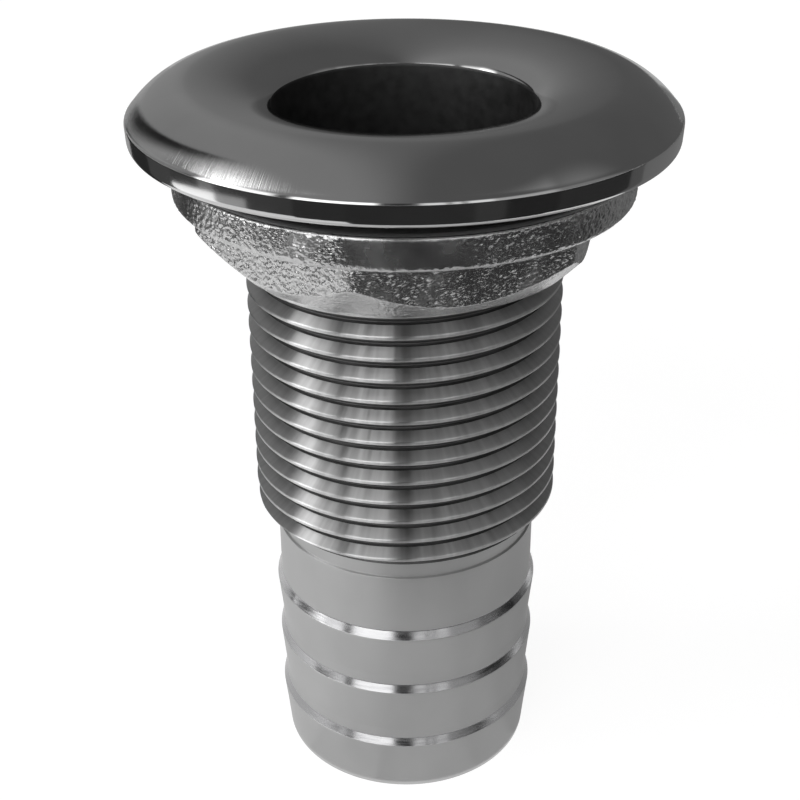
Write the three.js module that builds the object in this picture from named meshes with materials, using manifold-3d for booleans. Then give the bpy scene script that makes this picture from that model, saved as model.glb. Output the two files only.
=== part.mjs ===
// Stainless steel thru hull fitting with a hose tail, a sealing washer and a flanged backing nut.
// Millimetres, +Z up along the bore. The origin is the centre of the open end of the hose tail.
import * as THREE from "three";
import { mergeVertices } from "three/addons/utils/BufferGeometryUtils.js";
import Module from "manifold-3d";

const wasm = await Module();
wasm.setup();

const SEGMENTS = 40;

// Bore, cast with a slight draft, and hose tail
const BORE_R = 12.5; // at the tail
const BORE_TOP_R = 13.2; // under the lip
const TAIL_BORE_CHAMFER = 0.4;
const TAIL_END_R = 13.74;
const NECK_R = 14.43;
const NECK_TOP_Z = 29.3;
const GROOVE_R = 14.25;

// Thread, G1: outside diameter 33.249, pitch 2.309, right-handed
const THREAD_R = 16.62;
const THREAD_ROOT_R = 15.14;
const CORE_R = 14.6;
const PITCH = 2.309;
const THREAD_BOTTOM_Z = 31.7;
const THREAD_TOP_Z = 72.6;
const THREAD_CREST_Z = 32.94; // height of the lowest crest on the -Y side
const CREST_WIDTH = 0.45;

// Mushroom flange
const FLANGE_UNDERSIDE_Z = 73.75;
const SEALANT_RECESS_R = 22.8; // shallow recess that holds the bedding sealant
const SEALANT_RECESS_Z = 73.9;
const SHANK_TOP_R = 16.5;
const RIM_R = 27.52;
const DOME_TOP_Z = 79.48;
const DOME_TOP_R = 21.6; // radius of the dome's highest ring
const DOME_EDGE_R = 27.1; // where the dome meets the rim
const LIP_Z = 76.84; // height of the bore's upper edge

// Sealing washer
const WASHER_BOTTOM_Z = 71.98;
const WASHER_TOP_Z = 73.4;
const WASHER_BORE_R = 16.95;
const WASHER_R = 22.4;

// Backing nut
const NUT_TOP_Z = 71.63;
const NUT_RIM_BOTTOM_Z = 68.1;
const NUT_RIM_R = 23.5;
const NUT_BOTTOM_Z = 61.4;
const NUT_ACROSS_FLATS = 38;
const NUT_BOTTOM_R = 17.7;
const NUT_CHAMFER_TOP_Z = 65.6;
const NUT_CORNER_DEG = 17.2; // direction of one corner, from +X
const THREAD_CLEARANCE = 0.28;

// The dome from its shoulder up to its highest ring, then over the lip down to the bore.
function domeProfile(domeSteps, lipSteps) {
  const points = [];
  for (let i = 0; i < domeSteps; i++) {
    const d = (DOME_EDGE_R - DOME_TOP_R) * (1 - i / domeSteps);
    points.push([DOME_TOP_R + d, DOME_TOP_Z - 0.086 * d ** 2 - 0.00035 * d ** 4]);
  }
  const lip = new THREE.CubicBezierCurve(
    new THREE.Vector2(DOME_TOP_R, DOME_TOP_Z),
    new THREE.Vector2(DOME_TOP_R - 1.2, DOME_TOP_Z),
    new THREE.Vector2(BORE_TOP_R + 1.0, LIP_Z + 1.66),
    new THREE.Vector2(BORE_TOP_R + 0.05, LIP_Z),
  );
  return [...points, ...lip.getPoints(lipSteps).map((p) => p.toArray())];
}

const BODY_PROFILE = [
  // tail end, ridges and neck, upwards
  [BORE_R + TAIL_BORE_CHAMFER, 0],
  [TAIL_END_R, 0],
  [14.06, 0.2],
  [14.19, 0.6],
  [14.48, 3.2],
  [14.75, 6.2],
  [14.74, 6.55],
  [14.36, 7.35],
  [14.34, 8.2],
  [14.56, 11.0],
  [14.8, 13.9],
  [14.78, 14.25],
  [14.42, 15.05],
  [14.42, 16.0],
  [14.62, 18.7],
  [14.88, 21.3],
  [14.86, 21.65],
  [NECK_R, 22.45],
  [NECK_R, NECK_TOP_Z],
  [GROOVE_R, NECK_TOP_Z + 0.2],
  [GROOVE_R, THREAD_BOTTOM_Z + 0.4],
  // core of the threaded barrel
  [CORE_R, THREAD_BOTTOM_Z + 0.4],
  [CORE_R, THREAD_TOP_Z - 0.4],
  [SHANK_TOP_R, THREAD_TOP_Z + 0.6],
  [SHANK_TOP_R, SEALANT_RECESS_Z],
  // flange: recess, bearing land, rolled rim and dome
  [SEALANT_RECESS_R - 0.15, SEALANT_RECESS_Z],
  [SEALANT_RECESS_R, FLANGE_UNDERSIDE_Z],
  [26.3, FLANGE_UNDERSIDE_Z],
  [26.9, 73.85],
  [27.38, 74.25],
  [RIM_R, 74.7],
  [RIM_R, 75.6],
  [27.4, 76.15],
  ...domeProfile(6, 8),
  // bore, downwards
  [BORE_TOP_R, LIP_Z - 0.3],
  [BORE_R, TAIL_BORE_CHAMFER],
];

function material(colour, roughness, metalness) {
  return new THREE.MeshStandardMaterial({ color: colour, roughness, metalness });
}

// A profile of [radius, height] points turned round Z; the profile runs up the outside and down the inside.
function turned(profile, segments = SEGMENTS) {
  const points = [...profile, profile[0]].map(([r, z]) => new THREE.Vector2(r, z));
  return new THREE.LatheGeometry(points, segments).rotateX(Math.PI / 2);
}

function solid(geometry) {
  const bare = new THREE.BufferGeometry();
  bare.setAttribute("position", geometry.getAttribute("position"));
  bare.setIndex(geometry.getIndex());
  const merged = mergeVertices(bare, 1e-4);
  const mesh = new wasm.Mesh({
    numProp: 3,
    vertProperties: new Float32Array(merged.attributes.position.array),
    triVerts: new Uint32Array(merged.index.array),
  });
  return new wasm.Manifold(mesh);
}

function geometryOf(manifold) {
  const mesh = manifold.getMesh();
  const geometry = new THREE.BufferGeometry();
  geometry.setAttribute("position", new THREE.BufferAttribute(mesh.vertProperties, 3));
  geometry.setIndex(new THREE.BufferAttribute(mesh.triVerts, 1));
  const flat = geometry.toNonIndexed();
  flat.computeVertexNormals();
  return flat;
}

// A rod with a right-handed V thread whose turns reach past fromZ and toZ, grown by clearance all round.
function threadedRod(fromZ, toZ, clearance) {
  const crest = THREAD_R + clearance;
  const crestHalf = CREST_WIDTH / 2 + clearance;
  const section = [
    [THREAD_ROOT_R + clearance, -PITCH / 2],
    [crest, -crestHalf],
    [crest, crestHalf],
  ];
  const firstTurn = Math.floor((fromZ - THREAD_CREST_Z) / PITCH) - 1;
  const turns = Math.ceil((toZ - THREAD_CREST_Z) / PITCH) + 1 - firstTurn;
  const rows = turns * section.length + 1;
  const bottomZ = THREAD_CREST_Z + firstTurn * PITCH;
  const positions = [];
  for (let i = 0; i < SEGMENTS; i++) {
    const angle = (i / SEGMENTS) * 2 * Math.PI - Math.PI / 2;
    for (let k = 0; k < rows; k++) {
      const [r, dz] = section[k % section.length];
      const turn = Math.floor(k / section.length) + i / SEGMENTS;
      positions.push(r * Math.cos(angle), r * Math.sin(angle), bottomZ + turn * PITCH + dz);
    }
  }
  positions.push(0, 0, bottomZ - PITCH, 0, 0, bottomZ + (turns + 1) * PITCH);
  return new THREE.BufferGeometry()
    .setAttribute("position", new THREE.Float32BufferAttribute(positions, 3))
    .setIndex(rodIndex(rows, section.length));
}

// Columns of rows joined round the rod, the last one to the first a full pitch higher, and both ends closed.
function rodIndex(rows, perTurn) {
  const index = [];
  const lowPoint = SEGMENTS * rows;
  const highPoint = lowPoint + 1;
  const at = (i, k) => (i < SEGMENTS ? i * rows + k : k + perTurn);
  for (let i = 0; i < SEGMENTS; i++) {
    const top = i < SEGMENTS - 1 ? rows - 1 : rows - 1 - perTurn;
    for (let k = 0; k < top; k++) {
      index.push(at(i, k), at(i + 1, k), at(i + 1, k + 1));
      index.push(at(i, k), at(i + 1, k + 1), at(i, k + 1));
    }
    index.push(lowPoint, at(i + 1, 0), at(i, 0));
    index.push(highPoint, at(i, top), at(i + 1, top));
  }
  const seam = SEGMENTS * rows - perTurn - 1;
  for (let k = 0; k < perTurn; k++) {
    index.push(lowPoint, k, k + 1);
    index.push(highPoint, seam + k + 1, seam + k);
  }
  return index;
}

function makeBody() {
  const blank = solid(turned(BODY_PROFILE));
  const barrel = solid(
    turned([
      [BORE_TOP_R + 0.5, THREAD_BOTTOM_Z],
      [15.3, THREAD_BOTTOM_Z],
      [THREAD_R + 0.2, THREAD_BOTTOM_Z + 1.5],
      [THREAD_R + 0.2, THREAD_TOP_Z - 1.0],
      [THREAD_ROOT_R + 0.1, THREAD_TOP_Z + 0.5],
      [BORE_TOP_R + 0.5, THREAD_TOP_Z + 0.5],
    ]),
  );
  const rod = solid(threadedRod(THREAD_BOTTOM_Z, THREAD_TOP_Z, 0));
  return blank.add(barrel.intersect(rod));
}

function makeWasher() {
  return solid(
    turned([
      [WASHER_BORE_R, WASHER_BOTTOM_Z],
      [WASHER_R, WASHER_BOTTOM_Z],
      [WASHER_R, WASHER_TOP_Z],
      [WASHER_BORE_R, WASHER_TOP_Z],
    ]),
  );
}

function hexagon() {
  const corner = NUT_ACROSS_FLATS / Math.sqrt(3);
  const height = NUT_TOP_Z - 1 - NUT_BOTTOM_Z;
  const prism = new THREE.CylinderGeometry(corner, corner, height, 6, 1);
  prism.rotateX(Math.PI / 2);
  prism.rotateZ(THREE.MathUtils.degToRad(NUT_CORNER_DEG + 90));
  prism.translate(0, 0, NUT_BOTTOM_Z + height / 2);
  return solid(prism);
}

function makeNut() {
  const cornerR = NUT_ACROSS_FLATS / Math.sqrt(3) + 0.3;
  const cone = solid(
    turned([
      [14, NUT_BOTTOM_Z - 0.01],
      [NUT_BOTTOM_R, NUT_BOTTOM_Z - 0.01],
      [cornerR, NUT_CHAMFER_TOP_Z + 0.3],
      [cornerR, NUT_TOP_Z - 0.5],
      [14, NUT_TOP_Z - 0.5],
    ]),
  );
  const rim = solid(
    turned([
      [14, NUT_RIM_BOTTOM_Z - 0.1],
      [22.7, NUT_RIM_BOTTOM_Z - 0.1],
      [NUT_RIM_R - 0.15, NUT_RIM_BOTTOM_Z + 0.3],
      [NUT_RIM_R, NUT_RIM_BOTTOM_Z + 0.8],
      [NUT_RIM_R - 0.15, NUT_TOP_Z - 0.45],
      [NUT_RIM_R - 0.6, NUT_TOP_Z],
      [14, NUT_TOP_Z],
    ]),
  );
  const blank = hexagon().intersect(cone).add(rim);
  const hole = solid(
    turned([
      [1, NUT_BOTTOM_Z - 2],
      [17.3, NUT_BOTTOM_Z - 2],
      [17.3, NUT_BOTTOM_Z + 0.1],
      [15.2, NUT_BOTTOM_Z + 2.2],
      [15.2, NUT_TOP_Z - 2.2],
      [17.3, NUT_TOP_Z - 0.1],
      [17.3, NUT_TOP_Z + 2],
      [1, NUT_TOP_Z + 2],
    ]),
  );
  const groove = solid(threadedRod(NUT_BOTTOM_Z, NUT_TOP_Z, THREAD_CLEARANCE));
  return blank.subtract(hole).subtract(groove);
}

const STEEL = { body: [0xb4b6b8, 0.25, 1], nut: [0xa4a5a6, 0.5, 1], washer: [0x161616, 0.7, 0] };

function piece(name, manifold, [colour, roughness, metalness]) {
  const mesh = new THREE.Mesh(geometryOf(manifold), material(colour, roughness, metalness));
  mesh.name = name;
  return mesh;
}

const fitting = new THREE.Group();
fitting.name = "thru_hull_fitting";
fitting.add(piece("fitting_body", makeBody(), STEEL.body));
fitting.add(piece("sealing_washer", makeWasher(), STEEL.washer));
fitting.add(piece("backing_nut", makeNut(), STEEL.nut));

export default fitting;
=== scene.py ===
"""The thru hull fitting: polished flange, turned thread, satin hose tail, cast nut and rubber washer."""

import math

import bpy
import numpy as np
from mathutils import Euler, Matrix, Vector, noise


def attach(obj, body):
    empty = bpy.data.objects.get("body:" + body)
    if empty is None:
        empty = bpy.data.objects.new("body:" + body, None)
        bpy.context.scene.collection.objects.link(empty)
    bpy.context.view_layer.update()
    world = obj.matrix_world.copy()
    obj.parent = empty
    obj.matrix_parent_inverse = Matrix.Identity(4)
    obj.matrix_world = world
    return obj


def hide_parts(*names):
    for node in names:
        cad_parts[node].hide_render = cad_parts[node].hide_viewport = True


MM = 0.001
TAU = 2 * math.pi
FRONT = -math.pi / 2  # the angle about the bore of the side that faces the camera

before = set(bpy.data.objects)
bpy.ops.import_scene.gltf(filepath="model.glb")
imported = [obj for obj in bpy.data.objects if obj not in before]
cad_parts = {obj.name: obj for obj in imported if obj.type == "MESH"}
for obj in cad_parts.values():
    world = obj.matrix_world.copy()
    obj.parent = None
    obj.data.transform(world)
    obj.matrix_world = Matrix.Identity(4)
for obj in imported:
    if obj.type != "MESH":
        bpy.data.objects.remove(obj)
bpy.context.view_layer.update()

# ---------------------------------------------------------------- sizes of the body, mm

BORE_R = 12.5
BORE_TOP_R = 13.2
BORE_MIDDLE_R, BORE_MIDDLE_Z = 12.85, 40
LIP_Z = 76.84

# The tail's ridges: the start of the ramp as (radius, height, fillet), the crest, and the ledge's inner edge.
RIDGES = [
    ((14.46, 3.2, 3), (14.79, 6.4), (14.36, 7.35)),
    ((14.35, 8.6, 1.5), (14.83, 14.0), (14.4, 14.95)),
    ((14.41, 16.2, 1.5), (14.91, 21.35), (14.44, 22.35)),
]
COLLAR_R = 14.44
NECK_R = 14.22
NECK_Z = 29.4

PITCH = 2.309
THREAD_R = 16.62
THREAD_ROOT_R = 15.2
THREAD_FOOT_R = 15.3
THREAD_BOTTOM_Z = 31.7
THREAD_TOP_Z = 72.9
THREAD_CREST_Z = 33.12  # the middle of a crest, at the front
CREST_HALF = 0.17
ROOT_HALF = 0.06
EDGE_BLEND = 0.035
BOTTOM_CHAMFER, TOP_CHAMFER = 1.05, 1.2  # radius gained for each mm away from the thread's end
TOP_RUNOUT = 0.2
UNSHADED_FROM, UNSHADED_TO = -CREST_HALF - 0.08, 0.98  # heights from a crest's middle where the metal keeps its own grey; outside them the thread takes the root's painted shade

UNDERSIDE_Z = 73.75
RECESS_Z = 73.9
RECESS_R = 22.8
RIM_R = 27.52
RIM_TOP_Z = 75.85
DOME_EDGE_R, DOME_EDGE_Z = 27.3, 76.317
DOME_TOP_R, DOME_TOP_Z = 21.6, 79.48
DOME_CURVE, DOME_ROLL = 0.086, 0.00035  # the fall from the top, with the distance squared and to the fourth

POLISHED, TURNED, SATIN, LEDGE, BORE_SHADED, ROOT_SHADED = range(6)  # the body's material numbers; the root's and the bore's dark greys are painted shade

# ---------------------------------------------------------------- sizes of the nut and the washer, mm

NUT_BORE_R = 16.78
NUT_BOTTOM_Z = 61.4
NUT_TOP_Z = 71.63
NUT_CORNER = math.radians(17.2)
NUT_FLATS = 38.0
CORNER_CUT = 0.28
CORNER_SHARPNESS = 9.0
CHAMFER_R, CHAMFER_Z = 17.95, 61.47
CHAMFER_SLOPE = (65.6 - 61.45) / (21.9 - 17.95)
HEXAGON_TOP_Z = 68.0
STEP_R, STEP_Z = 22.95, 68.1  # the step from the hexagon out to the rim
STEP_FILLET = 0.5
NUT_RIM_R = 23.47
NUT_RIM_BOTTOM_Z = STEP_Z + STEP_FILLET
GRAIN_SIZE = 0.34
GRAIN_DEPTH = 0.062

# The smooth patch on the nut's rim: its two sides as angles from the front, and how softly each side ends.
SMOOTH_FROM, SMOOTH_TO = math.radians(-13), math.radians(15)
FROM_SOFTNESS, TO_SOFTNESS = 0.02, 0.07

CAST, MACHINED = range(2)  # the nut's material numbers

WASHER_R = 22.38
WASHER_BORE_R = 17.0
WASHER_BOTTOM_Z, WASHER_TOP_Z = 72.0, 73.38

# ---------------------------------------------------------------- mesh building


def fillet(profile):
    """[(r, z, fillet radius, material)] with each corner rounded; returns [(r, z, material)]."""
    out = []
    for i, (r, z, radius, material) in enumerate(profile):
        corner = np.array([r, z], float)
        if radius <= 0 or i in (0, len(profile) - 1):
            out.append((r, z, material))
            continue
        before = np.array(profile[i - 1][:2], float) - corner
        after = np.array(profile[i + 1][:2], float) - corner
        length_before, length_after = np.linalg.norm(before), np.linalg.norm(after)
        turn = math.pi - math.acos(np.clip(before @ after / (length_before * length_after), -1, 1))
        cut = min(radius * math.tan(turn / 2), 0.48 * length_before, 0.48 * length_after)
        start = corner + before / length_before * cut
        end = corner + after / length_after * cut
        steps = max(3, int(math.degrees(turn) / 9) + 1)
        for t in np.linspace(0, 1, steps + 1):
            point = (1 - t) ** 2 * start + 2 * t * (1 - t) * corner + t * t * end
            out.append((point[0], point[1], material))
    return out


def densify(profile, step):
    """The profile with points added, so that they are about one step apart."""
    out = [profile[0]]
    for (r0, z0, _), (r1, z1, material) in zip(profile, profile[1:]):
        count = max(1, int(math.hypot(r1 - r0, z1 - z0) / step))
        for k in range(1, count + 1):
            t = k / count
            out.append((r0 + (r1 - r0) * t, z0 + (z1 - z0) * t, material))
    return out


def ring_quads(rows, columns):
    """Quads between neighbouring rings of vertices, each ring closed on itself."""
    below = np.arange(rows - 1)[:, None] * columns
    above = below + columns
    here = np.arange(columns)[None]
    beside = (here + 1) % columns
    corners = [below + here, below + beside, above + beside, above + here]
    return np.stack(corners, -1).reshape(-1, 4)


def lathe(profile, segments):
    """Vertices, quads and material numbers of a profile turned round Z."""
    rz = np.array([p[:2] for p in profile]) * MM
    angle = np.arange(segments) * TAU / segments
    x = rz[:, 0][:, None] * np.cos(angle)
    y = rz[:, 0][:, None] * np.sin(angle)
    z = np.repeat(rz[:, 1][:, None], segments, 1)
    verts = np.stack([x, y, z], -1).reshape(-1, 3)
    numbers = np.repeat(np.array([p[2] for p in profile[1:]]), segments)
    return verts, ring_quads(len(profile), segments), numbers


def make_object(name, parts, materials, merge=2e-6):
    """One object from parts of (vertices, quads, material numbers), with coinciding vertices merged."""
    starts = np.cumsum([0] + [len(verts) for verts, _, _ in parts])
    verts = np.concatenate([part[0] for part in parts])
    quads = np.concatenate([part[1] + start for part, start in zip(parts, starts)])
    numbers = np.concatenate([part[2] for part in parts])
    key = np.round(verts / merge).astype(np.int64)
    _, first, where = np.unique(key, axis=0, return_index=True, return_inverse=True)
    verts, quads = verts[first], where.reshape(-1)[quads]
    faces, kept = [], []
    for quad, number in zip(quads.tolist(), numbers.tolist()):
        face = [v for i, v in enumerate(quad) if v != quad[i - 1]]
        if len(face) > 2 and len(set(face)) == len(face):
            faces.append(face)
            kept.append(number)
    mesh = bpy.data.meshes.new(name)
    mesh.from_pydata(verts.tolist(), [], faces)
    mesh.polygons.foreach_set("material_index", np.array(kept, np.int32))
    mesh.polygons.foreach_set("use_smooth", np.ones(len(faces), bool))
    mesh.update()
    obj = bpy.data.objects.new(name, mesh)
    bpy.context.scene.collection.objects.link(obj)
    for material in materials:
        mesh.materials.append(material)
    return obj


def bezier(points, steps):
    """Points along the cubic curve of four handles."""
    p = [np.array(q, float) for q in points]
    t = np.linspace(0, 1, steps + 1)[:, None]
    return (1 - t) ** 3 * p[0] + 3 * (1 - t) ** 2 * t * p[1] + 3 * (1 - t) * t**2 * p[2] + t**3 * p[3]


# ---------------------------------------------------------------- node graphs


class Graph:
    """Short calls for the shader nodes used here. A value is a number or another node's output."""

    def __init__(self, tree):
        self.nodes, self.links = tree.nodes, tree.links

    def put(self, socket, value):
        if isinstance(value, bpy.types.NodeSocket):
            self.links.new(value, socket)
        else:
            socket.default_value = value

    def math(self, operation, first, second=None):
        node = self.nodes.new("ShaderNodeMath")
        node.operation = operation
        self.put(node.inputs[0], first)
        if second is not None:
            self.put(node.inputs[1], second)
        return node.outputs[0]

    def product(self, first, *others):
        for other in others:
            first = self.math("MULTIPLY", first, other)
        return first

    def ranged(self, source, low, high, start=0.0, end=1.0, curve="LINEAR"):
        """From low to high while the source goes from start to end, and held beyond them."""
        node = self.nodes.new("ShaderNodeMapRange")
        node.interpolation_type = curve
        node.inputs["From Min"].default_value = start
        node.inputs["From Max"].default_value = end
        node.inputs["To Min"].default_value = low
        node.inputs["To Max"].default_value = high
        self.links.new(source, node.inputs["Value"])
        return node.outputs["Result"]

    def step(self, source, start, end):
        """From 0 to 1 while the source goes from start to end, with soft ends."""
        return self.ranged(source, 0, 1, start, end, "SMOOTHSTEP")

    def mix(self, factor, first, second):
        node = self.nodes.new("ShaderNodeMix")
        node.data_type = "FLOAT"
        self.put(node.inputs["Factor"], factor)
        self.put(node.inputs["A"], first)
        self.put(node.inputs["B"], second)
        return node.outputs["Result"]

    def coordinates(self, kind="Object"):
        return self.nodes.new("ShaderNodeTexCoord").outputs[kind]

    def separate(self, vector):
        node = self.nodes.new("ShaderNodeSeparateXYZ")
        self.links.new(vector, node.inputs[0])
        return node.outputs["X"], node.outputs["Y"], node.outputs["Z"]

    def stretched(self, *sources):
        """A vector from up to three (source, factor) pairs."""
        node = self.nodes.new("ShaderNodeCombineXYZ")
        for socket, (source, factor) in zip(node.inputs, sources):
            self.put(socket, self.product(source, factor))
        return node.outputs[0]

    def polar(self):
        """Angle, radius and height about the bore, in radians and metres."""
        x, y, z = self.separate(self.coordinates())
        level = self.nodes.new("ShaderNodeCombineXYZ")
        self.put(level.inputs["X"], x)
        self.put(level.inputs["Y"], y)
        radius = self.nodes.new("ShaderNodeVectorMath")
        radius.operation = "LENGTH"
        self.put(radius.inputs[0], level.outputs[0])
        return self.math("ARCTAN2", y, x), radius.outputs["Value"], z

    def noise(self, vector, scale, detail=2.0, rough=0.5):
        node = self.nodes.new("ShaderNodeTexNoise")
        node.inputs["Scale"].default_value = scale
        node.inputs["Detail"].default_value = detail
        node.inputs["Roughness"].default_value = rough
        self.links.new(vector, node.inputs["Vector"])
        return node.outputs["Fac"]


class Finish(Graph):
    """A material whose roughness, grey and bumps can vary over the surface."""

    def __init__(self, name, colour, roughness, metallic=1.0):
        self.material = bpy.data.materials.new(name)
        self.material.use_nodes = True
        super().__init__(self.material.node_tree)
        self.shader = self.nodes["Principled BSDF"]
        self.set("Base Color", (*colour, 1))
        self.set("Roughness", roughness)
        self.set("Metallic", metallic)

    def set(self, name, value):
        self.put(self.shader.inputs[name], value)

    def vary(self, name, source, low, high):
        """One input follows a noise, most of which lies between 0.3 and 0.7."""
        self.set(name, self.ranged(source, low, high, 0.3, 0.7))

    def bump(self, height, distance, strength, under=None):
        """Bumps of this height, added to the bumps under them; returns the bumped normal."""
        node = self.nodes.new("ShaderNodeBump")
        node.inputs["Distance"].default_value = distance
        node.inputs["Strength"].default_value = strength
        self.put(node.inputs["Height"], height)
        if under is not None:
            self.put(node.inputs["Normal"], under)
        self.set("Normal", node.outputs["Normal"])
        return node.outputs["Normal"]

    def tool_marks(self, around, along, detail=2.0, rough=0.5):
        """Noise stretched round the bore: one scale around it, and one along its radius and height."""
        angle, radius, height = self.polar()
        vector = self.stretched((angle, around), (radius, along), (height, along))
        return self.noise(vector, 1.0, detail, rough)

    def turned(self, amount):
        """Fine tool marks run round the bore, so a reflection spreads along it and stays sharp around it."""
        self.set("Anisotropic", amount)
        self.set("Anisotropic Rotation", 0.25)
        tangent = self.nodes.new("ShaderNodeTangent")
        tangent.direction_type = "RADIAL"
        tangent.axis = "Z"
        self.set("Tangent", tangent.outputs["Tangent"])


# ---------------------------------------------------------------- materials


def polished_steel():
    """Polished, with fine marks across the shoulder at the front left."""
    finish = Finish("polished_steel", (0.52, 0.52, 0.525), 0.12)
    angle, radius, _ = finish.polar()
    streaks = finish.noise(finish.stretched((angle, 170), (radius, 160)), 1.0, 4, 0.6)
    cloud = finish.noise(finish.coordinates(), 90, 3)
    shoulder = finish.ranged(radius, 0, 1, 0.0245, 0.0268)
    inside_wall = finish.ranged(radius, 1, 0, 0.0272, 0.0274)
    left_side = finish.ranged(angle, 0, 1, -1.75, -2.1)
    finish.vary("Roughness", cloud, 0.07, 0.13)
    finish.bump(finish.product(streaks, shoulder, inside_wall, left_side), 0.00004, 0.6)
    finish.vary("Base Color", cloud, 0.5, 0.55)
    return finish.material


def turned_steel():
    finish = Finish("turned_steel", (0.56, 0.56, 0.565), 0.36)
    finish.turned(1.0)
    marks = finish.tool_marks(0.5, 6000, 2, 0.6)
    streaks = finish.tool_marks(22, 60)
    finish.vary("Roughness", streaks, 0.28, 0.36)
    finish.bump(marks, 0.000006, 0.35)
    finish.vary("Base Color", streaks, 0.5, 0.62)
    return finish.material


def root_painted_shade():
    """The thread's root and lower flank, where the tool leaves a dull torn surface; its near-black grey is
    painted shade, for the dark band under each crest.
    """
    finish = Finish("root_painted_shade", (0.1, 0.1, 0.1), 0.5)
    marks = finish.tool_marks(4, 5000, 3, 0.6)
    finish.vary("Roughness", marks, 0.42, 0.6)
    finish.bump(marks, 0.000012, 0.5)
    # The near-black grey is painted shade.
    finish.vary("Base Color", marks, 0.07, 0.14)
    return finish.material


def satin_steel():
    finish = Finish("satin_steel", (0.44, 0.44, 0.445), 0.4)
    finish.turned(0.4)
    squash = finish.nodes.new("ShaderNodeMapping")
    squash.inputs["Scale"].default_value = (1, 1, 0.6)
    finish.put(squash.inputs["Vector"], finish.coordinates())
    cloud = finish.noise(squash.outputs["Vector"], 120, 3)
    finish.vary("Roughness", cloud, 0.36, 0.46)
    grain = finish.bump(finish.noise(finish.coordinates(), 2600, 3, 0.6), 0.00002, 0.25)
    finish.bump(finish.tool_marks(2, 5000), 0.000008, 0.3, grain)
    finish.vary("Base Color", cloud, 0.41, 0.47)
    return finish.material


def ledge_steel():
    """The steep side of each ridge, cut last and left shiny."""
    finish = Finish("ledge_steel", (0.38, 0.38, 0.385), 0.16)
    marks = finish.tool_marks(5, 3000)
    finish.vary("Roughness", marks, 0.12, 0.22)
    finish.bump(marks, 0.00001, 0.4)
    return finish.material


def bore_painted_shade():
    # Rough bore metal; its near-black grey is painted shade, for the dark seen down the bore.
    finish = Finish("bore_painted_shade", (0.2, 0.2, 0.2), 0.42)
    grain = finish.noise(finish.coordinates(), 900, 4)
    finish.vary("Roughness", grain, 0.5, 0.6)
    finish.bump(grain, 0.00002, 0.25)
    finish.vary("Base Color", grain, 0.06, 0.08)
    return finish.material


def cast_steel():
    """Pebbled, and calmer in the smooth patch at the front of the rim."""
    finish = Finish("cast_steel", (0.45, 0.45, 0.455), 0.28)
    fine = finish.noise(finish.coordinates(), 2400, 2, 0.55)
    cloud = finish.noise(finish.coordinates(), 260, 3)
    angle, _, height = finish.polar()
    start, end = FRONT + SMOOTH_FROM, FRONT + SMOOTH_TO
    after = finish.ranged(angle, 0, 1, start - FROM_SOFTNESS, start + FROM_SOFTNESS)
    before = finish.ranged(angle, 1, 0, end - TO_SOFTNESS, end + TO_SOFTNESS)
    above = finish.ranged(height, 0, 1, (NUT_RIM_BOTTOM_Z - 0.2) * MM, (NUT_RIM_BOTTOM_Z + 0.2) * MM)
    calm = finish.ranged(finish.product(after, before, above), 1.0, 0.15)
    finish.vary("Roughness", cloud, 0.2, 0.3)
    finish.bump(finish.product(finish.ranged(fine, -0.5, 0.5), calm), 0.00014, 0.68)
    finish.vary("Base Color", cloud, 0.42, 0.56)
    return finish.material


def machined_steel():
    finish = Finish("machined_steel", (0.5, 0.5, 0.505), 0.34)
    finish.turned(0.6)
    marks = finish.tool_marks(2, 5000)
    finish.vary("Roughness", marks, 0.28, 0.4)
    finish.bump(marks, 0.00001, 0.4)
    return finish.material


def black_rubber():
    finish = Finish("black_rubber", (0.012, 0.012, 0.012), 0.7, 0.0)
    grain = finish.noise(finish.coordinates(), 3000, 2)
    finish.bump(grain, 0.00004, 0.4)
    finish.vary("Base Color", grain, 0.009, 0.016)
    return finish.material


# ---------------------------------------------------------------- body


def tail_profile():
    """From the middle of the bore down, round the tail's end, and up over the ridges to the thread's foot."""
    profile = [
        (BORE_MIDDLE_R, BORE_MIDDLE_Z, 0, BORE_SHADED),
        (BORE_R, 0.5, 0.15, BORE_SHADED),
        (12.95, 0, 0.1, SATIN),
        (14.17, 0, 0.45, SATIN),
    ]
    for ramp, crest, ledge in RIDGES:
        profile += [(*ramp, SATIN), (*crest, 0.35, SATIN), (*ledge, 0.3, LEDGE)]
    profile += [
        (COLLAR_R, NECK_Z - 0.15, 0.06, SATIN),
        (NECK_R, NECK_Z, 0.06, SATIN),
        (NECK_R, THREAD_BOTTOM_Z, 0.15, SATIN),
        (THREAD_FOOT_R, THREAD_BOTTOM_Z, 0, TURNED),
    ]
    return densify(fillet(profile), 0.5)


def thread_rows():
    """One pitch of the thread: (height above the crest's middle, radius), with blended edges."""
    half = PITCH / 2
    heights = [-1.1, -1.02, -0.9, -0.75, -0.58, -0.42, -0.31, -0.25, -0.21, -0.17, -0.12, -0.06]
    heights = [-half] + heights + [0.0] + [-h for h in reversed(heights)]
    flank = (THREAD_R - THREAD_ROOT_R) / (half - ROOT_HALF - CREST_HALF)

    def sharp(height):
        return min(THREAD_R, max(THREAD_ROOT_R, THREAD_R - flank * (abs(height) - CREST_HALF)))

    rows = []
    for height in heights:
        nearby = [sharp(height + s * EDGE_BLEND) for s in (-1.5, -0.75, 0, 0.75, 1.5)]
        rows.append((height, sum(nearby) / len(nearby)))
    return rows


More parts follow.
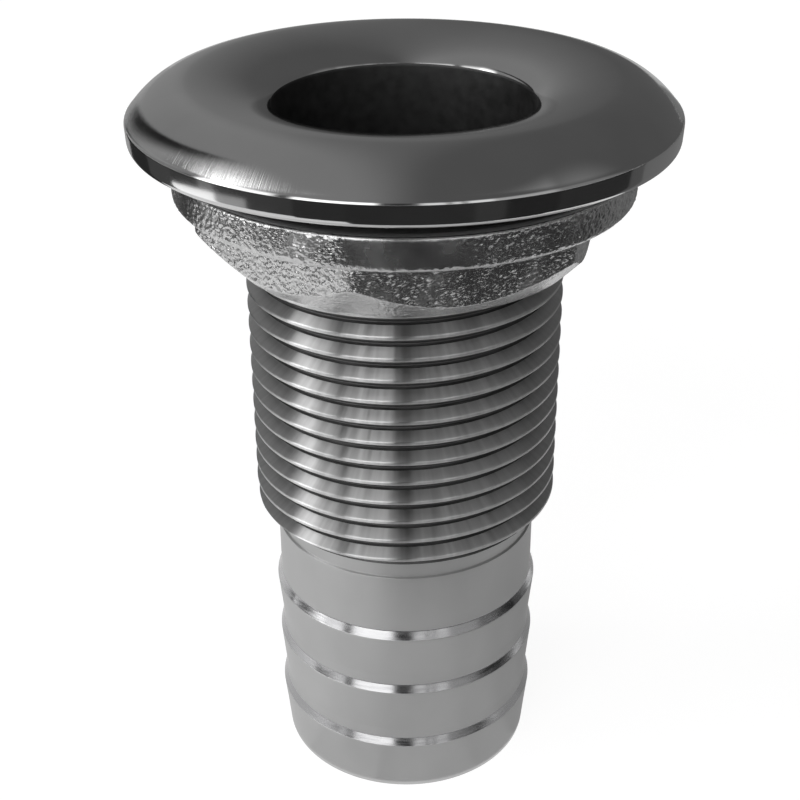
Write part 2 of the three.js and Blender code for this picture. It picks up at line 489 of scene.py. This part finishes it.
def helical_thread(segments):
    """The threaded barrel as rows that climb with the helix, held between its two ends."""
    rows = thread_rows()
    per_turn = len(rows)
    first = math.floor((THREAD_BOTTOM_Z - THREAD_CREST_Z) / PITCH) - 2
    turns = math.ceil((THREAD_TOP_Z - THREAD_CREST_Z) / PITCH) + 2 - first
    count = per_turn * turns
    height = np.array([row[0] for row in rows] * turns)
    radius = np.array([row[1] for row in rows] * turns)
    turn = first + np.repeat(np.arange(turns), per_turn)
    climb = PITCH * np.arange(segments)[None] / segments
    z = THREAD_CREST_Z + (turn * PITCH + height)[:, None] + climb
    bottom_limit = THREAD_FOOT_R + (z - THREAD_BOTTOM_Z) * BOTTOM_CHAMFER
    top_limit = THREAD_ROOT_R + np.maximum(0, THREAD_TOP_Z - TOP_RUNOUT - z) * TOP_CHAMFER
    radius = np.minimum(np.minimum(radius[:, None], bottom_limit), top_limit)
    radius[z <= THREAD_BOTTOM_Z] = THREAD_FOOT_R
    radius[z >= THREAD_TOP_Z] = THREAD_ROOT_R
    z = np.clip(z, THREAD_BOTTOM_Z, THREAD_TOP_Z)
    angle = np.arange(segments) * TAU / segments + FRONT
    verts = np.stack([radius * np.cos(angle), radius * np.sin(angle), z], -1).reshape(-1, 3) * MM

    row = np.arange(count - 1)
    quads = []
    for column in range(segments):
        shift = per_turn if column == segments - 1 else 0
        beside = (column + 1) % segments
        low = np.minimum(row + shift, count - 1) * segments + beside
        high = np.minimum(row + 1 + shift, count - 1) * segments + beside
        quads.append(np.stack([row * segments + column, low, high, (row + 1) * segments + column], -1))
    # Rows outside these heights take the root's painted shade.
    unshaded = [UNSHADED_FROM < height < UNSHADED_TO for height, _ in rows[1:] + rows[:1]]
    numbers = np.where(unshaded * turns, TURNED, ROOT_SHADED)
    return verts, np.concatenate(quads), np.tile(numbers[:-1], segments)


def dome(steps):
    """From the shoulder up to the highest ring, then over the lip to the edge of the bore."""
    points = []
    for i in range(steps):
        d = (DOME_EDGE_R - DOME_TOP_R) * (1 - i / steps)
        points.append((DOME_TOP_R + d, DOME_TOP_Z - DOME_CURVE * d**2 - DOME_ROLL * d**4, POLISHED))
    handles = [
        (DOME_TOP_R, DOME_TOP_Z),
        (DOME_TOP_R - 1.2, DOME_TOP_Z),
        (BORE_TOP_R + 1.0, LIP_Z + 1.66),
        (BORE_TOP_R + 0.07, LIP_Z),
    ]
    return points + [(r, z, POLISHED) for r, z in bezier(handles, steps)]


def head_profile():
    """From the thread's top out under the flange, round its rim, over the dome and halfway down the bore."""
    underside = [
        (THREAD_ROOT_R, THREAD_TOP_Z, 0, TURNED),
        (16.5, THREAD_TOP_Z + 0.2, 0.1, TURNED),
        (16.5, RECESS_Z, 0.2, TURNED),
        (RECESS_R - 0.15, RECESS_Z, 0.05, TURNED),
        (RECESS_R, UNDERSIDE_Z, 0.05, TURNED),
        (RIM_R - 0.1, UNDERSIDE_Z, 0.8, POLISHED),
        (RIM_R, RIM_TOP_Z, 0, POLISHED),
    ]
    handles = [
        (RIM_R, RIM_TOP_Z),
        (RIM_R, RIM_TOP_Z + 0.22),
        (RIM_R - 0.05, RIM_TOP_Z + 0.31),
        (DOME_EDGE_R, DOME_EDGE_Z),
    ]
    shoulder = [(r, z, POLISHED) for r, z in bezier(handles, 10)[1:-1]]
    top = dome(40)
    bore = [
        top[-1],
        (BORE_TOP_R + 0.01, LIP_Z - 0.1, BORE_SHADED),
        (BORE_TOP_R, LIP_Z - 0.3, BORE_SHADED),
        (BORE_MIDDLE_R, BORE_MIDDLE_Z, BORE_SHADED),
    ]
    return densify(fillet(underside) + shoulder, 0.6) + top + densify(bore, 2.0)[1:]


def build_body(segments=360):
    parts = [lathe(tail_profile(), segments), helical_thread(segments), lathe(head_profile(), segments)]
    finishes = [polished_steel(), turned_steel(), satin_steel(), ledge_steel(), bore_painted_shade(), root_painted_shade()]
    return make_object("fitting", parts, finishes)


# ---------------------------------------------------------------- nut and washer


def nut_hexagon(angle):
    """The hexagon's radius at each angle, with its corners worn round."""
    sector = TAU / 6
    from_middle = (angle - NUT_CORNER) % sector - sector / 2
    flat = NUT_FLATS / 2 / np.cos(from_middle)
    corner = NUT_FLATS / 2 / math.cos(sector / 2) - CORNER_CUT
    k = CORNER_SHARPNESS
    return -np.log(np.exp(-k * flat) + np.exp(-k * corner)) / k


def nut_rows(hexagon):
    """Rows of (radii, heights, material, grain), from the bore out over the chamfer, the hexagon and the rim
    to the top and back to the bore."""
    rows = []

    def ring(radius, z, material, grain):
        rows.append((radius + 0 * hexagon, z + 0 * hexagon, material, grain))

    for z in (70.6, 66.0, 62.2):
        ring(NUT_BORE_R, z, MACHINED, 0)
    for radius, above in ((17.3, 0.15), (17.42, 0.03), (17.55, 0)):
        ring(radius, NUT_BOTTOM_Z + above, MACHINED, 0)
    ring(17.8, NUT_BOTTOM_Z + 0.02, CAST, 0)
    chamfer_z = CHAMFER_Z + (hexagon - CHAMFER_R) * CHAMFER_SLOPE
    for t in np.linspace(0, 1, 34):
        radius = CHAMFER_R + (hexagon - CHAMFER_R) * t
        ring(radius, CHAMFER_Z + (chamfer_z - CHAMFER_Z) * t, CAST, 0.25 + 0.2 * t)
    for t in np.linspace(0, 1, 48)[1:]:
        ring(hexagon, chamfer_z + (HEXAGON_TOP_Z - chamfer_z) * t, CAST, 1.0)
    for t in np.linspace(0, 1, 16)[1:-1]:
        ring(hexagon + (STEP_R - hexagon) * t, STEP_Z, CAST, 0.6)
    for t in np.linspace(0, 1, 7):
        bend = t * math.pi / 2
        out, up = math.sin(bend), 1 - math.cos(bend)
        ring(STEP_R + STEP_FILLET * out, STEP_Z + STEP_FILLET * up, CAST, 0.3 + 0.7 * t)
    for z in np.arange(NUT_RIM_BOTTOM_Z + 0.1, 71.2, 0.105):
        ring(NUT_RIM_R + 0.03 * math.sin((z - NUT_RIM_BOTTOM_Z) * 1.2), z, CAST, 1.0)
    for t in np.linspace(0, 1, 5):
        bend = t * math.pi / 2
        ring(23.2 + 0.25 * math.cos(bend), 71.25 + 0.2 * math.sin(bend), CAST, 0.6 - 0.4 * t)
    ring(23.1, 71.5, MACHINED, 0.1)
    ring(22.85, 71.62, MACHINED, 0)
    for radius in (22.6, 21, 19, 17.5):
        ring(radius, NUT_TOP_Z, MACHINED, 0)
    ring(17.3, 71.55, MACHINED, 0)
    for z in (71.0, 70.6):
        ring(NUT_BORE_R, z, MACHINED, 0)
    return rows


def grain_height(point):
    """Pebbled cast surface, from about -1 to 1."""
    place = Vector([value / GRAIN_SIZE for value in point])
    return noise.noise(place) + 0.55 * noise.noise(place * 1.9 + Vector((7, 3, 5)))


def roughen(position, grain, angle):
    """Moves each row along its normals by the cast grain, which is calmer in the smooth patch on the rim."""
    along = np.gradient(position, axis=0)
    across = np.roll(position, -1, 1) - np.roll(position, 1, 1)
    normal = np.cross(across, along)
    normal /= np.linalg.norm(normal, axis=-1)[..., None] + 1e-12
    turn = (angle - FRONT + math.pi) % TAU - math.pi
    after = np.tanh((turn - SMOOTH_FROM) / FROM_SOFTNESS)
    beyond = np.tanh((turn - SMOOTH_TO) / TO_SOFTNESS)
    patch = (after - beyond) / 2
    for row in np.nonzero(grain > 0)[0]:
        heights = np.array([grain_height(point) for point in position[row].tolist()])
        if position[row, :, 2].min() > NUT_RIM_BOTTOM_Z - 0.1:
            heights *= 1 - 0.8 * patch
        position[row] += normal[row] * (heights * GRAIN_DEPTH * grain[row])[:, None]


def build_nut(columns=1080):
    angle = NUT_CORNER + np.arange(columns) * TAU / columns
    rows = nut_rows(nut_hexagon(angle))
    radius, z, numbers, grain = (np.array(values) for values in zip(*rows))
    position = np.stack([radius * np.cos(angle), radius * np.sin(angle), z], -1)
    roughen(position, grain, angle)
    part = (position.reshape(-1, 3) * MM, ring_quads(len(rows), columns), np.repeat(numbers[1:], columns))
    return make_object("nut", [part], [cast_steel(), machined_steel()])


def build_washer(segments=240):
    seam = (WASHER_BORE_R, 72.7, 0, 0)
    profile = [
        seam,
        (WASHER_BORE_R, WASHER_BOTTOM_Z, 0.15, 0),
        (WASHER_R, WASHER_BOTTOM_Z, 0.3, 0),
        (WASHER_R, WASHER_TOP_Z, 0.3, 0),
        (WASHER_BORE_R, WASHER_TOP_Z, 0.15, 0),
        seam,
    ]
    return make_object("washer", [lathe(densify(fillet(profile), 0.7), segments)], [black_rubber()])


body = build_body()
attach(body, "fitting")
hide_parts("fitting_body")

nut = build_nut()
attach(nut, "nut")
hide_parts("backing_nut")

washer = build_washer()
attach(washer, "washer")
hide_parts("sealing_washer")

# ---------------------------------------------------------------- floor and cards, metres

FLOOR_HALF = 8
FLOOR_DROP = 0.00002
GLOW_NEAR, GLOW_FAR = 0.88, 0.86  # the floor's own light, under the object and away from it
GLOW_FROM, GLOW_TO = 0.015, 0.09  # the radii between which it changes
CARD_HEIGHT = 0.0006
SIDE_REACH, BACK_REACH = 2.2, 7.5

# What the metal sees low down: a ring of grey cards on the floor round the object, seen by reflections only.
# Each is (from, to, radiance, inner radius, outer radius), with bearings in degrees from the front, positive
# to the right.
LOW_CARDS = [
    (-165, -143, 0.38, 0.11, BACK_REACH),
    (-143, -120, 0.03, 0.11, SIDE_REACH),
    (-120, -102, 0.08, 0.13, SIDE_REACH),
    (-102, -77, 1.7, 0.13, 0.19),
    (-102, -85, 0.06, 0.19, SIDE_REACH),
    (-85, -77, 0.25, 0.19, SIDE_REACH),
    (-77, -62, 0.5, 0.14, 0.19),
    (-77, -62, 0.05, 0.19, SIDE_REACH),
    (-62, -42, 0.06, 0.14, SIDE_REACH),
    (-42, -22, 0.035, 0.12, SIDE_REACH),
    (-22, 26, 0.03, 0.07, SIDE_REACH),
    (26, 38, 0.05, 0.07, SIDE_REACH),
    (38, 60, 0.02, 0.075, SIDE_REACH),
    (60, 97, 0.035, 0.09, SIDE_REACH),
    (97, 106, 0.12, 0.09, SIDE_REACH),
    (106, 160, 0.2, 0.09, BACK_REACH),
    (160, 195, 0.5, 0.11, BACK_REACH),
]

# A second ring close round the tail: (from, to, radiance).
NEAR_INNER, NEAR_OUTER = 0.0143, 0.066
NEAR_CARDS = [
    (-160, -55, 0.85),
    (-55, -15, 0.75),
    (-15, 35, 0.65),
    (35, 65, 0.58),
    (65, 95, 0.48),
    (95, 160, 0.41),
    (160, 200, 0.6),
]


def build_floor():
    """A matt floor that glows, so that it is seen as white."""
    mesh = bpy.data.meshes.new("floor")
    h = FLOOR_HALF
    mesh.from_pydata([(-h, -h, 0), (h, -h, 0), (h, h, 0), (-h, h, 0)], [], [(0, 1, 2, 3)])
    finish = Finish("floor_white", (0.3, 0.3, 0.3), 0.9, 0.0)
    _, radius, _ = finish.polar()
    finish.set("Emission Color", (1, 1, 1, 1))
    finish.set("Emission Strength", finish.ranged(radius, GLOW_NEAR, GLOW_FAR, GLOW_FROM, GLOW_TO))
    mesh.materials.append(finish.material)
    obj = bpy.data.objects.new("floor", mesh)
    bpy.context.scene.collection.objects.link(obj)
    obj.location.z = -FLOOR_DROP
    return obj


def build_card(low, high, radiance, inner, outer):
    """One sector of a ring of grey cards."""
    verts, faces = [], []
    steps = max(2, int((high - low) / 4))
    for i in range(steps + 1):
        bearing = math.radians(low + (high - low) * i / steps)
        x, y = math.sin(bearing), -math.cos(bearing)
        verts += [(inner * x, inner * y, 0), (outer * x, outer * y, 0)]
    for i in range(steps):
        faces.append((2 * i, 2 * i + 1, 2 * i + 3, 2 * i + 2))
    mesh = bpy.data.meshes.new("card")
    mesh.from_pydata(verts, [], faces)
    finish = Finish("card_grey", (0, 0, 0), 1.0, 0.0)
    finish.set("Specular IOR Level", 0)
    finish.set("Emission Color", (1, 1, 1, 1))
    finish.set("Emission Strength", radiance)
    mesh.materials.append(finish.material)
    obj = bpy.data.objects.new("card", mesh)
    bpy.context.scene.collection.objects.link(obj)
    obj.location.z = CARD_HEIGHT
    obj.visible_camera = obj.visible_diffuse = obj.visible_shadow = obj.visible_transmission = False
    return obj


floor = build_floor()
cards = [build_card(*card) for card in LOW_CARDS]
cards += [build_card(*card, NEAR_INNER, NEAR_OUTER) for card in NEAR_CARDS]

# ---------------------------------------------------------------- surroundings

# Strips of light in front, each from one bearing to another in degrees, with its radiance and edge softness.
# A strip with a negative radiance darkens the one that it lies in.
PANELS = [
    (-120, -72, 0.35, 3),
    (-46, -37, 5.0, 1.5),
    (-37, -27, 2.6, 1.5),
    (-23, -5.5, 3.2, 1.0),
    (-5.5, 3, 0.05, 1.0),
    (3, 18, 1.5, 1.2),
    (8.3, 9.5, -1.2, 0.4),
    (11.3, 12.5, -1.2, 0.4),
    (18, 32, 0.75, 2),
    (32, 120, 0.38, 3),
]
FAN_CENTRE = 0.91  # how far behind the strips' bearings are measured from, as a part of the room's radius
BACK_LEFT, BACK_RIGHT, HIGH_RIGHT = 0.39, 0.15, 0.16
SEEN_WHITE = 1.25

# The dark edge at the back left starts at a slanting line: a point on it as a bearing and an elevation in
# degrees, and how fast the distance below the line grows with each of them.
EDGE_BEARING, EDGE_ELEVATION = -131, 27
EDGE_ACROSS, EDGE_DOWN = 0.73, 0.68


def front_strips(graph, x, y):
    """The sum of the strips of light."""
    ahead = graph.math("SUBTRACT", FAN_CENTRE, y)
    bearing = graph.product(graph.math("ARCTAN2", x, ahead), 180 / math.pi)
    total = 0.0
    for low, high, radiance, soft in PANELS:
        start = graph.step(bearing, low - soft, low + soft)
        end = graph.step(bearing, high - soft, high + soft)
        strip = graph.product(graph.math("SUBTRACT", start, end), radiance)
        total = graph.math("ADD", total, strip)
    return graph.math("MAXIMUM", total, 0.0)


def dark_edge(graph, x, y, elevation):
    """The dark edge at the back left, which brightens downwards: its mask and its radiance."""
    back = graph.product(y, -1.0)
    bearing = graph.product(graph.math("ARCTAN2", x, back), 180 / math.pi)
    across, down = graph.product(bearing, EDGE_ACROSS), graph.product(elevation, -EDGE_DOWN)
    start = EDGE_DOWN * EDGE_ELEVATION - EDGE_ACROSS * EDGE_BEARING
    below = graph.math("ADD", graph.math("ADD", across, down), start)
    radiance = graph.mix(graph.step(below, 3.5, 12), 0.03, 0.6)
    band = graph.product(graph.step(below, 0.2, 1.0), graph.step(below, 15, 10))
    sides = graph.product(graph.step(bearing, -156, -150), graph.step(bearing, -104, -116))
    return graph.product(band, sides), radiance


def build_world():
    """A soft studio by direction: bearing 0 is the front, positive to the right. White as seen directly."""
    world = bpy.data.worlds.new("studio")
    bpy.context.scene.world = world
    world.use_nodes = True
    world.node_tree.nodes.clear()
    graph = Graph(world.node_tree)
    x, y, z = graph.separate(graph.coordinates("Generated"))
    elevation = graph.product(graph.math("ARCSINE", z), 180 / math.pi)

    low_enough = graph.math("SUBTRACT", 1.0, graph.step(elevation, 34, 56))
    in_front = graph.product(low_enough, graph.step(y, 0.25, -0.1))
    right = graph.mix(graph.step(elevation, 20, 60), BACK_RIGHT, HIGH_RIGHT)
    behind = graph.mix(graph.step(x, -0.27, 0.14), BACK_LEFT, right)
    room = graph.mix(in_front, behind, front_strips(graph, x, y))
    edge_mask, edge = dark_edge(graph, x, y, elevation)
    room = graph.mix(edge_mask, room, edge)

    path = graph.nodes.new("ShaderNodeLightPath")
    background = graph.nodes.new("ShaderNodeBackground")
    graph.put(background.inputs["Strength"], graph.mix(path.outputs["Is Camera Ray"], room, SEEN_WHITE))
    output = graph.nodes.new("ShaderNodeOutputWorld")
    graph.put(output.inputs["Surface"], background.outputs[0])
    world.cycles.sampling_method = "MANUAL"
    world.cycles.sample_map_resolution = 1024


build_world()

# ---------------------------------------------------------------- camera

CAMERA_DISTANCE = 0.13999  # from the bore's axis, level
CAMERA_HEIGHT = 0.11823
CAMERA_PITCH = math.radians(28.167)
CAMERA_ROLL = math.radians(-0.2)
SENSOR_WIDTH = 36
FOCAL_LENGTH = 64.9215
SHIFT_X, SHIFT_Y = -0.0065875, -0.0027625

lens = bpy.data.cameras.new("camera")
lens.sensor_fit = "HORIZONTAL"
lens.sensor_width = SENSOR_WIDTH
lens.lens = FOCAL_LENGTH
lens.shift_x, lens.shift_y = SHIFT_X, SHIFT_Y
lens.clip_start = 0.01
lens.dof.use_dof = False
camera = bpy.data.objects.new("camera", lens)
bpy.context.scene.collection.objects.link(camera)
camera.location = (0, -CAMERA_DISTANCE, CAMERA_HEIGHT)
aim = Euler((math.pi / 2 - CAMERA_PITCH, 0, 0)).to_matrix() @ Matrix.Rotation(CAMERA_ROLL, 3, "Z")
camera.rotation_euler = aim.to_euler()
bpy.context.scene.camera = camera

bpy.context.scene.view_settings.view_transform = "Standard"
bpy.context.scene.view_settings.look = "None"
